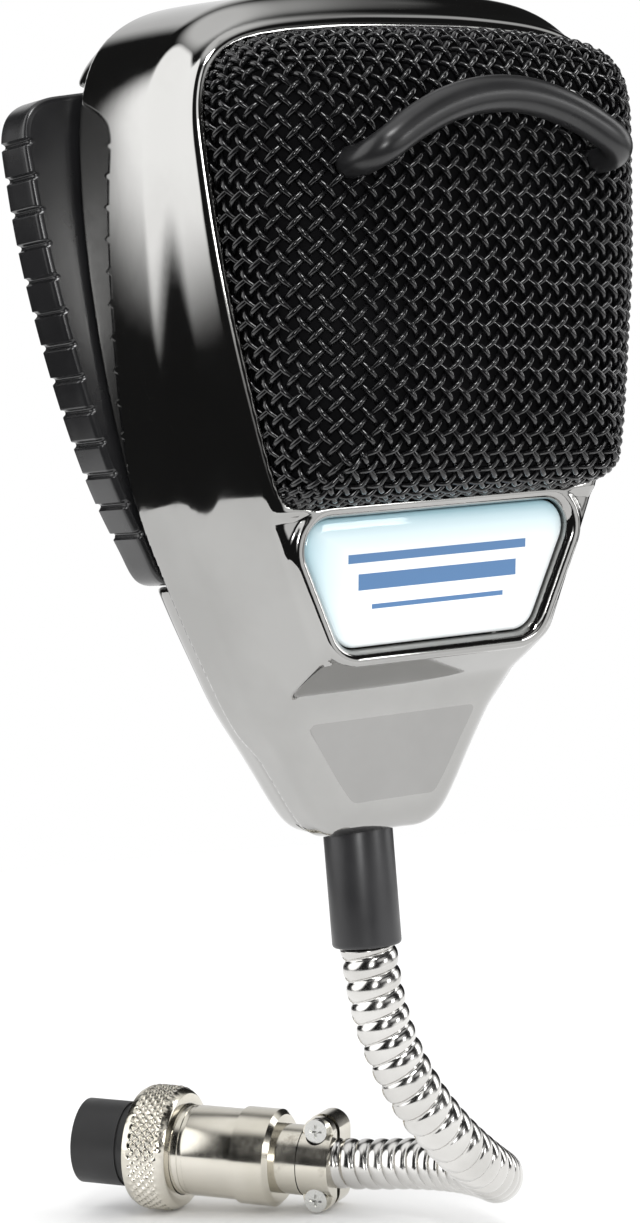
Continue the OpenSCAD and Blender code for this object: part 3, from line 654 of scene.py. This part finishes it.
PITCH, WR = 1.856, 0.36
ROT = math.radians(-4.12)
eh = np.array([math.cos(ROT), math.sin(ROT)])
ev_ = np.array([-math.sin(ROT), math.cos(ROT)])
dirs = [(eh + ev_) / math.sqrt(2), (eh - ev_) / math.sqrt(2)]
centre = np.array([0.4, 30.1])
step = PITCH / 5
parts_v, parts_f, nv = [], [], 0
SIDES = 6
for fam in (0, 1):
    dA, dB = dirs[fam], dirs[1 - fam]
    for i in range(-36, 37):
        u = np.arange(-66, 66, step)
        P = centre + i * PITCH * dB + u[:, None] * dA
        _, a = on_dome(P[:, 0], P[:, 1])
        keep = a > 0.25
        if keep.sum() < 6:
            continue
        idx = np.flatnonzero(keep)
        runs = np.split(idx, np.flatnonzero(np.diff(idx) > 1) + 1)
        for rn in runs:
            if len(rn) < 6:
                continue
            uu = u[rn]
            ph = math.pi * (uu / PITCH + i + (1 if fam else 0))
            lift = (WR * 1.02) * np.cos(ph)
            c, _ = on_dome(P[rn, 0], P[rn, 1], lift - 0.0)
            V, F = sweep(c, WR, SIDES, caps=False)
            parts_v.append(V)
            parts_f.append(F + nv)
            nv += len(V)
V, F = np.concatenate(parts_v), np.concatenate(parts_f)
weave = make("woven_grille", V, F)
weave.data.materials.append(WIRE)
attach(weave, "housing")
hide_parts("grille_mesh")

# cloth behind the weave
ring = open_o.curve[::6]
cx = np.array([0.0, 30.0])
rows = []
for a in np.linspace(0.0, 1.0, 34):
    rows.append(a)
bx, bz = [], []
gxx = np.arange(-40, 40.1, 1.0)
gzz = np.arange(-10, 70.1, 1.0)
X, Z = np.meshgrid(gxx, gzz, indexing="ij")
c, a = on_dome(X.ravel(), Z.ravel(), -0.85)
keep = (a > 0.4).reshape(X.shape)
nI, nJ = X.shape
I, J = np.meshgrid(np.arange(nI - 1), np.arange(nJ - 1), indexing="ij")
ok = keep[:-1, :-1] & keep[1:, :-1] & keep[1:, 1:] & keep[:-1, 1:]
q = np.stack([I * nJ + J, (I + 1) * nJ + J, (I + 1) * nJ + J + 1, I * nJ + J + 1], -1)[ok]
used = np.unique(q)
re = -np.ones(nI * nJ, int)
re[used] = np.arange(len(used))
cloth = make("grille_cloth", c[used], re[q])
cloth.data.materials.append(BACKING)
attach(cloth, "housing")
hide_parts("foam_windscreen")

# ------------------------------------------------------------------ lip guard
gx_ = np.linspace(-15.5, 15.5, 21)
arch = [(x, -20.0, 48.3 - 0.0205 * x * x) for x in gx_]
tail = lambda q: [(q * 17.0, -19.6, 42.4), (q * 17.9, -18.5, 41.7), (q * 18.2, -17.0, 41.3), (q * 18.25, -15.4, 41.2), (q * 18.25, -13.6, 41.2)]
gl, _ = spline_open(list(reversed(tail(-1))) + arch + tail(1), 190)
guard_r = 2.2 - 0.28 * np.clip(np.abs(gl[:, 0]) / 18.25, 0, 1) ** 2
guard = make_tube("lip_guard_bar", gl, guard_r, 32)
guard.data.materials.append(GUARD)
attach(guard, "housing")
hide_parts("lip_guard")

# ------------------------------------------------------------------ lever
LEV = [(-26.0, -6.4), (-27.9, -3.4), (-29.9, 0.9), (-31.6, 4.9), (-34.4, 13.4), (-36.6, 22), (-38.4, 31),
       (-39.6, 39.3), (-40.2, 46.5), (-40.15, 50.2), (-39.1, 52.6), (-37.2, 53.9), (-34, 54.5), (-30, 54.9), (-27.9, 54.6),
       (-27.4, 52), (-27.7, 46), (-28.2, 38), (-28.0, 30), (-27.3, 21), (-26.6, 12), (-24, 4), (-21.4, 1.4),
       (-19.7, -1.6), (-20.3, -5), (-22.9, -6.8)]
LN = 1100
lev_c = spline_closed(LEV, LN)
_t = np.roll(lev_c, -1, 0) - np.roll(lev_c, 1, 0)
_t /= np.linalg.norm(_t, axis=1)[:, None]
lev_n = np.stack([_t[:, 1], -_t[:, 0]], 1)
if np.sum((lev_c - lev_c.mean(0)) * lev_n) < 0:
    lev_n = -lev_n
_edge, _el = spline_open([LEV[i] for i in range(1, 10)], 800)
_ea = np.linspace(0, _el, 800)
_near = np.linalg.norm(lev_c[:, None] - _edge[None], axis=2)
_s = _ea[np.argmin(_near, axis=1)]
_on = _near.min(1) < 0.2
groove = np.zeros(LN)
for k in range(13):
    q = np.abs(_s - (3.4 + 4.22 * k))
    groove = np.maximum(groove, np.where(_on, np.clip(1 - (q / 0.46) ** 2, 0, 1) ** 0.7, 0))
LR = 0.8
levels_ = [(y, LR - LR * math.cos(math.asin(min(1, max(0, 1 - (y - 22.45) / LR))))) for y in np.linspace(22.45, 22.45 + LR, 7)]
levels_ = levels_ + [(y, 0.0) for y in (24.5, 26.2, 27.9)] + [(22.45 + 29.95 - y, i) for y, i in reversed(levels_)]
lv = []
for y, ins_ in levels_:
    p_ = lev_c - lev_n * (ins_ + 0.55 * groove)[:, None]
    fall = 1.1 * ((p_[:, 1] - 24) / 30) ** 2 * np.clip((26.2 - y) / 3.75, 0, 1)
    lv.append(np.stack([p_[:, 0], y + fall, p_[:, 1]], 1))
LF = grid_faces(len(lv), LN).tolist()
# the front face is filled by strips across, from the ribbed edge to the inner one
_m = LN // 2
_top = int(np.argmax(lev_c[:, 1]))
_order = [(_top + k) % LN for k in range(LN)]
_strip = [[_order[k], _order[k + 1], _order[-k - 1], _order[-k]] if k else [_order[0], _order[1], _order[-1]] for k in range(_m)]
_strip = [list(dict.fromkeys(q_)) for q_ in _strip]
_last = (len(lv) - 1) * LN
lever = make_poly("talk_lever", np.concatenate(lv), LF + _strip + [[_last + k for k in reversed(q_)] for q_ in _strip])
sharpen(lever, 50)
for e_ in lever.data.edges:
    a_, b_ = (v_ % LN for v_ in e_.vertices)
    if e_.vertices[0] // LN == e_.vertices[1] // LN and e_.vertices[0] // LN in (0, len(lv) - 1) and abs(a_ - b_) in (1, LN - 1):
        e_.use_edge_sharp = True
lever.data.materials.append(LEVER)
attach(lever, "lever")
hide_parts("ptt_lever")


# ------------------------------------------------------------------ name plate
def plate_point(x, v, w):
    """A point from the name plate's own coordinates."""
    y = -math.cos(TILT) * w - math.sin(TILT) * v
    z = -math.sin(TILT) * w + math.cos(TILT) * v
    return np.stack(np.broadcast_arrays(x, y, z), -1)


def rounded(pts, r, n=10):
    out = []
    m = len(pts)
    for i in range(m):
        p0, p1, p2 = (np.array(pts[(i + k - 1) % m], float) for k in range(3))
        d0, d1 = (p1 - p0) / np.linalg.norm(p1 - p0), (p2 - p1) / np.linalg.norm(p2 - p1)
        n0, n1 = np.array([d0[1], -d0[0]]), np.array([d1[1], -d1[0]])
        a0, a1 = math.atan2(n0[1], n0[0]), math.atan2(n1[1], n1[0])
        while a1 < a0:
            a1 += 2 * math.pi
        for t in np.linspace(a0, a1, n):
            out.append(p1 + r * np.array([math.cos(t), math.sin(t)]))
    return np.array(out)


ccw = list(reversed(PLATE))
base = rounded(ccw, 3.5 - 0.05)
cen = base.mean(0)
levels = [(0.0, -0.5), (0.0, 0.05), (0.18, 0.28), (0.55, 0.42), (1.4, 0.56), (3.0, 0.7), (5.4, 0.8)]
rings = []
for off, w in levels:
    r = rounded(ccw, max(3.45 - off, 0.02)) if off < 3.4 else cen + (base - cen) * (1 - off / 9.5)
    rings.append(plate_point(r[:, 0], r[:, 1], np.full(len(r), w)))
n = len(base)
V = np.concatenate(rings + [plate_point(cen[:1], cen[1:2], np.array([0.86]))])
F = grid_faces(len(rings), n).tolist()
top = len(V) - 1
F += [[(len(rings) - 1) * n + k, (len(rings) - 1) * n + (k + 1) % n, top] for k in range(n)]
label = make_poly("name_plate_face", V, F)
sharpen(label, 60)


def label_material():
    m, nt, p = shader("domed_label")
    tc = nt.nodes.new("ShaderNodeTexCoord")
    sep = nt.nodes.new("ShaderNodeSeparateXYZ")
    nt.links.new(tc.outputs["Object"], sep.inputs[0])
    mm = lambda s, o: _math(nt, "MULTIPLY", _math(nt, "ADD", s, -o), 1000.0)
    x = mm(sep.outputs[0], 0.0)
    z = mm(sep.outputs[2], -0.030)
    side = _math(nt, "DIVIDE", _math(nt, "ADD", x, 20.5), 9.0, True)
    top_ = _math(nt, "DIVIDE", _math(nt, "MULTIPLY", z, -1.0), 5.5, True)
    fade = _math(nt, "MINIMUM", side, top_)
    col = _ramp(nt, fade, [(0.0, (0.30, 0.52, 0.60)), (0.45, (0.66, 0.80, 0.84)), (1.0, (0.90, 0.93, 0.93))])
    sp = _noise(nt, 700, 4)
    col = _mix(nt, _ramp(nt, sp, [(0.3, (0, 0, 0)), (0.8, (0.08, 0.08, 0.08))]), col, (0.6, 0.7, 0.75))

    def band(v, mid, half):
        return _math(nt, "LESS_THAN", _math(nt, "ABSOLUTE", _math(nt, "ADD", v, -mid)), half)

    for mid, half, w in ((-5.2, 0.55, 13.5), (-8.1, 1.0, 12.0), (-11.2, 0.30, 10.0)):
        b = _math(nt, "MULTIPLY", band(z, mid, half), band(x, 0.0, w))
        col = _mix(nt, b, col, (0.045, 0.16, 0.36))
    nt.links.new(col, p.inputs["Base Color"])
    p.inputs["Roughness"].default_value = 0.35
    p.inputs["Coat Weight"].default_value = 1.0
    p.inputs["Coat Roughness"].default_value = 0.04
    _bump(nt, p, _noise(nt, 300, 2), 0.03, 0.00005)
    return m


label.data.materials.append(label_material())
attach(label, "housing")
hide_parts("name_plate", "name_plate_dome")

# ------------------------------------------------------------------ strain relief
def lathe(name, prof, origin, axis, n=72, sharp=30, up=None):
    """A turned piece: prof is (distance along the axis, radius) round the section, closed."""
    ax = np.asarray(axis, float)
    ax /= np.linalg.norm(ax)
    ref = np.array([0, 0, 1.0]) if abs(ax[2]) < 0.9 else np.array([0, -1.0, 0])
    a = np.cross(ax, ref)
    a /= np.linalg.norm(a)
    b = np.cross(ax, a)
    ph = 2 * math.pi * np.arange(n) / n
    pr = np.asarray(prof, float)
    P = np.asarray(origin, float) + pr[:, 0][:, None, None] * ax + pr[:, 1][:, None, None] * (
        np.cos(ph)[None, :, None] * a + np.sin(ph)[None, :, None] * b
    )
    ob = make(name, P.reshape(-1, 3), grid_faces(len(pr), n, wrap_m=True))
    return sharpen(ob, sharp)


def soft_corner(pts, r, k=4):
    """A closed section with its corners rounded by r."""
    out = []
    m = len(pts)
    for i in range(m):
        p0, p1, p2 = (np.array(pts[(i + q - 1) % m], float) for q in range(3))
        d0, d1 = p0 - p1, p2 - p1
        l0, l1 = np.linalg.norm(d0), np.linalg.norm(d1)
        rr = min(r, 0.45 * l0, 0.45 * l1)
        a, b = p1 + d0 / l0 * rr, p1 + d1 / l1 * rr
        for t in np.linspace(0, 1, k):
            out.append((1 - t) ** 2 * a + 2 * t * (1 - t) * p1 + t * t * b)
    return out


sr = lathe("strain_relief_sleeve", soft_corner([(0, 2.6), (0, 4.55), (16.5, 4.55), (16.5, 2.6)], 0.5), (0, 23, -56), (0, 0, 1), 64, 40)
sr.data.materials.append(SLEEVE)
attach(sr, "housing")
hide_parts("strain_relief")

# ------------------------------------------------------------------ armoured lead
TURN, TILTP = math.radians(125), math.radians(5)
PAX = np.array([math.cos(TILTP) * math.cos(TURN), math.cos(TILTP) * math.sin(TURN), math.sin(TILTP)])
PAT = np.array([26.5, 75.0, -96.5])
CTRL = [(0, 23, -46), (0, 23, -56), (1, 23, -67), (5, 22, -77), (12, 23, -85), (21, 28, -91), (29, 38, -94), (33, 51, -95), (32, 64, -96)]
CTRL = CTRL + [tuple(PAT + k * PAX) for k in (-4, 6, 16)]


def bspline(c, per):
    c = np.asarray(c, float)
    out = []
    for i in range(len(c) - 3):
        for t in np.linspace(0, 1, per, endpoint=False):
            out.append(((1 - t) ** 3 * c[i] + (3 * t**3 - 6 * t * t + 4) * c[i + 1] + (-3 * t**3 + 3 * t * t + 3 * t + 1) * c[i + 2] + t**3 * c[i + 3]) / 6)
    out.append((c[-3] + 4 * c[-2] + c[-1]) / 6)
    return np.array(out)


ROUTE = bspline(CTRL, 4)
CORD_D = 7.2
rings_n = 620
line, cord_len = spline_open(ROUTE, rings_n)
arc = np.linspace(0, cord_len, rings_n)
SID = 40
ang = np.arange(SID) / SID
turn = (arc[:, None] / 2.7 - ang[None, :]) % 1.0
ridge = np.clip(np.abs(turn - 0.5) / 0.5, 0, 1)
prof = np.where(ridge < 0.84, np.sqrt(np.clip(1 - (ridge / 0.97) ** 2, 0, 1)), 0.5 * np.clip(1 - (ridge - 0.84) / 0.16, 0, 1) ** 0.6)
rad = CORD_D / 2 + 0.16 - 0.66 * (1 - prof)
lead = make_tube("steel_armour", line, rad, SID)
lead.data.materials.append(ARMOUR)
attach(lead, "housing")
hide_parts("armoured_cord")

# ------------------------------------------------------------------ plug
pa = np.array([math.sin(TILTP) * math.cos(TURN), math.sin(TILTP) * math.sin(TURN), -math.cos(TILTP)])
pb = np.cross(PAX, pa)


def plug_row(p):
    """From the plug's own x, y, z to drawing millimetres, as its CAD turns them."""
    p = np.asarray(p, float)
    return PAT + p[..., 0:1] * pa + p[..., 1:2] * pb + p[..., 2:3] * PAX


shell = lathe("plug_barrel_shell", soft_corner([(12.2, 5.72), (12.2, 6.78), (22.6, 6.78), (22.6, 6.6), (23.4, 6.6), (23.4, 6.78), (29.8, 6.78), (29.8, 7.28), (31.4, 7.28), (31.4, 5.72)], 0.18), PAT, PAX, 96)
shell.data.materials.append(NICKEL)
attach(shell, "housing")
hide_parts("plug_shell")

# coupling ring with a diamond knurl
N = 360
zs = np.concatenate([[24.6, 24.7], np.linspace(25.6, 26.0, 3), np.linspace(26.15, 30.0, 26), np.linspace(30.15, 30.6, 3), [31.5, 31.6]])
rr_ = []
for z in zs:
    th = 2 * math.pi * np.arange(N) / N
    if z < 24.65:
        r = np.full(N, 8.3)
    elif z < 24.75:
        r = np.full(N, 8.55)
    elif z > 31.55:
        r = np.full(N, 8.4)
    elif z > 31.45:
        r = np.full(N, 8.65)
    else:
        k = 42
        ph = (z - 26.0) * (2 * math.pi / 1.42)
        d = np.maximum(np.cos(k * th + ph), np.cos(k * th - ph))
        e = np.clip(min(z - 25.7, 30.5 - z) / 0.5, 0, 1)
        r = 9.42 - 0.34 * e * (1 - np.clip(0.5 + 0.75 * -d, 0, 1)) - (0.25 * (1 - e))
    rr_.append(r)
th = 2 * math.pi * np.arange(N) / N
inner = [(31.6, 7.92), (26.6, 7.92), (26.6, 6.92), (26.0, 6.92), (26.0, 7.82), (25.2, 7.82), (25.2, 6.92), (24.6, 6.92)]
P = []
for z, r in zip(zs, rr_):
    P.append(plug_row(np.stack([r * np.cos(th), r * np.sin(th), np.full(N, z)], -1)))
for z, r in inner:
    P.append(plug_row(np.stack([r * np.cos(th), r * np.sin(th), np.full(N, z)], -1)))
nut = make("knurled_ring", np.concatenate(P), grid_faces(len(P), N, wrap_m=True))
sharpen(nut, 38)
nut.data.materials.append(NICKEL)
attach(nut, "coupling_ring")
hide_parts("plug_coupling_ring")

for node, mat in {
    "plug_insert": INSERT, "plug_contacts": BRASSY, "plug_snap_ring": STEEL, "plug_collar": NICKEL, "plug_clamp_saddle": NICKEL,
    "plug_clamp_screws": STEEL, "cover_screws": STEEL, "retainer_screws": STEEL, "lip_guard_screws": STEEL, "capsule_screws": STEEL,
    "switch_screws": STEEL, "board_screws": STEEL, "cable_clamp_screws": STEEL, "hang_button": NICKEL, "hang_button_screw": STEEL,
    "grille_retainer": GUARD, "mic_capsule": STEEL, "capsule_boot": RUBBER, "capsule_bracket": STEEL, "ptt_pivot_pin": STEEL,
    "ptt_spring": STEEL, "switch_stack": BROWN, "switch_leaves": BRASSY, "switch_blade": BRASSY, "terminal_board": BROWN,
    "hookup_wires": RUBBER, "inner_cable": RUBBER, "cable_clamp": STEEL,
}.items():
    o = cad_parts[node]
    o.data.materials.clear()
    o.data.materials.append(mat)

# ------------------------------------------------------------------ stage
FLOOR_Z = -133.55 * 0.001
bpy.ops.mesh.primitive_circle_add(vertices=128, radius=0.34, fill_type="NGON", location=(0.08, 0.18, FLOOR_Z))
floor = bpy.context.object
floor.name = "floor"
fm, nt, p = shader("pale_floor")
nt.links.new(_ramp(nt, _noise(nt, 3, 3), [(0.3, (0.90, 0.90, 0.90)), (0.8, (0.92, 0.92, 0.92))]), p.inputs["Base Color"])
p.inputs["Roughness"].default_value = 0.8
p.inputs["Specular IOR Level"].default_value = 0.0
floor.data.materials.append(fm)

world = bpy.data.worlds.new("studio")
bpy.context.scene.world = world
world.use_nodes = True
nt = world.node_tree
bg = nt.nodes["Background"]
tc = nt.nodes.new("ShaderNodeTexCoord")
sep = nt.nodes.new("ShaderNodeSeparateXYZ")
nt.links.new(tc.outputs["Generated"], sep.inputs[0])
AZ = _math(nt, "MULTIPLY", _math(nt, "ARCTAN2", sep.outputs[0], sep.outputs[1]), 180 / math.pi)
EL = _math(nt, "MULTIPLY", _math(nt, "ARCSINE", sep.outputs[2]), 180 / math.pi)


def softbox(a0, e0, ha, he, soft, val, power=4.0):
    """A soft-edged panel of the studio, seen in direction a0 (0 is +Y, -90 is -X) and height e0, in degrees."""
    q = _math(nt, "ADD", AZ, 540.0 - a0)
    q = _math(nt, "SUBTRACT", _math(nt, "MODULO", q, 360.0), 180.0)
    u = _math(nt, "DIVIDE", _math(nt, "ABSOLUTE", q), ha)
    v = _math(nt, "DIVIDE", _math(nt, "ABSOLUTE", _math(nt, "SUBTRACT", EL, float(e0))), he)
    d = _math(nt, "POWER", _math(nt, "ADD", _math(nt, "POWER", u, power), _math(nt, "POWER", v, power)), 1 / power)
    m = nt.nodes.new("ShaderNodeMapRange")
    m.interpolation_type = "SMOOTHSTEP"
    m.inputs["From Min"].default_value, m.inputs["From Max"].default_value = 1 + soft, 1 - soft
    m.inputs["To Min"].default_value, m.inputs["To Max"].default_value = 0.0, val
    nt.links.new(d, m.inputs["Value"])
    return m.outputs[0]


glow = None
for box_ in (
    (-64, 26, 33, 32, 0.13, 2.0, 2.4),
    (-146, 18, 9, 24, 0.5, 1.7),
    (148, -15, 28, 17, 0.35, 1.15, 2.6),
    (168, 24, 18, 10, 0.6, 0.8),
    (96, 20, 14, 40, 0.5, 0.9),
    (24, 20, 16, 30, 0.5, 0.8),
    (0, 86, 200, 26, 0.4, 1.1),
):
    v_ = softbox(*box_)
    glow = v_ if glow is None else _math(nt, "MAXIMUM", glow, v_)
glow = _math(nt, "ADD", glow, 0.018)
rgb = nt.nodes.new("ShaderNodeCombineColor")
for i in range(3):
    nt.links.new(glow, rgb.inputs[i])
lp = nt.nodes.new("ShaderNodeLightPath")
soft_ = _mix(nt, lp.outputs["Is Glossy Ray"], (1.05, 1.05, 1.05), rgb.outputs[0])
nt.links.new(_mix(nt, lp.outputs["Is Camera Ray"], soft_, (1.0, 1.0, 1.0)), bg.inputs["Color"])
bg.inputs["Strength"].default_value = 1.0
if hasattr(world, "cycles"):
    world.cycles.sampling_method = "NONE"


def area(name, loc, target, size, power, size_y=None):
    d = bpy.data.lights.new(name, "AREA")
    d.shape = "RECTANGLE"
    d.size, d.size_y = size, size_y or size
    d.energy = power
    o = bpy.data.objects.new(name, d)
    bpy.context.scene.collection.objects.link(o)
    o.location = loc
    o.rotation_euler = (Vector(target) - Vector(loc)).to_track_quat("-Z", "Y").to_euler()
    return o


area("key", (-0.25, -0.55, 0.75), (0, 0, 0), 0.26, 4)
area("front_right", (0.40, -0.75, 0.03), (-0.03, 0, 0.0), 0.16, 0.8, 0.20)
area("front", (-0.46, -0.74, 0.03), (-0.03, 0, 0.0), 0.14, 1.5, 0.20)
area("right", (0.75, -0.2, 0.2), (0, 0, 0), 0.25, 1.2, 0.6)


# ------------------------------------------------------------------ camera
def look(az, el, roll, at):
    a, e, r = math.radians(az), math.radians(el), math.radians(roll)
    fwd = Vector((math.sin(a) * math.cos(e), math.cos(a) * math.cos(e), -math.sin(e)))
    rt = Vector((math.cos(a), -math.sin(a), 0))
    up = rt.cross(fwd)
    r2 = math.cos(r) * rt + math.sin(r) * up
    u2 = -math.sin(r) * rt + math.cos(r) * up
    m = Matrix((
        (r2.x, u2.x, -fwd.x, at[0]),
        (r2.y, u2.y, -fwd.y, at[1]),
        (r2.z, u2.z, -fwd.z, at[2]),
        (0, 0, 0, 1),
    ))
    cam = bpy.data.cameras.new("camera")
    ob = bpy.data.objects.new("camera", cam)
    bpy.context.scene.collection.objects.link(ob)
    ob.matrix_world = m
    cam.sensor_fit = "AUTO"
    cam.sensor_width = 36
    cam.lens = 36 * 3239.2 / 1223
    cam.clip_start = 0.01
    cam.clip_end = 20
    cam.dof.use_dof = False
    bpy.context.scene.camera = ob
    return ob


look(33.430, 2.319, -4.692, row_pt((-233.108, -325.461, 4.731)))

bpy.context.scene.view_settings.view_transform = "Standard"
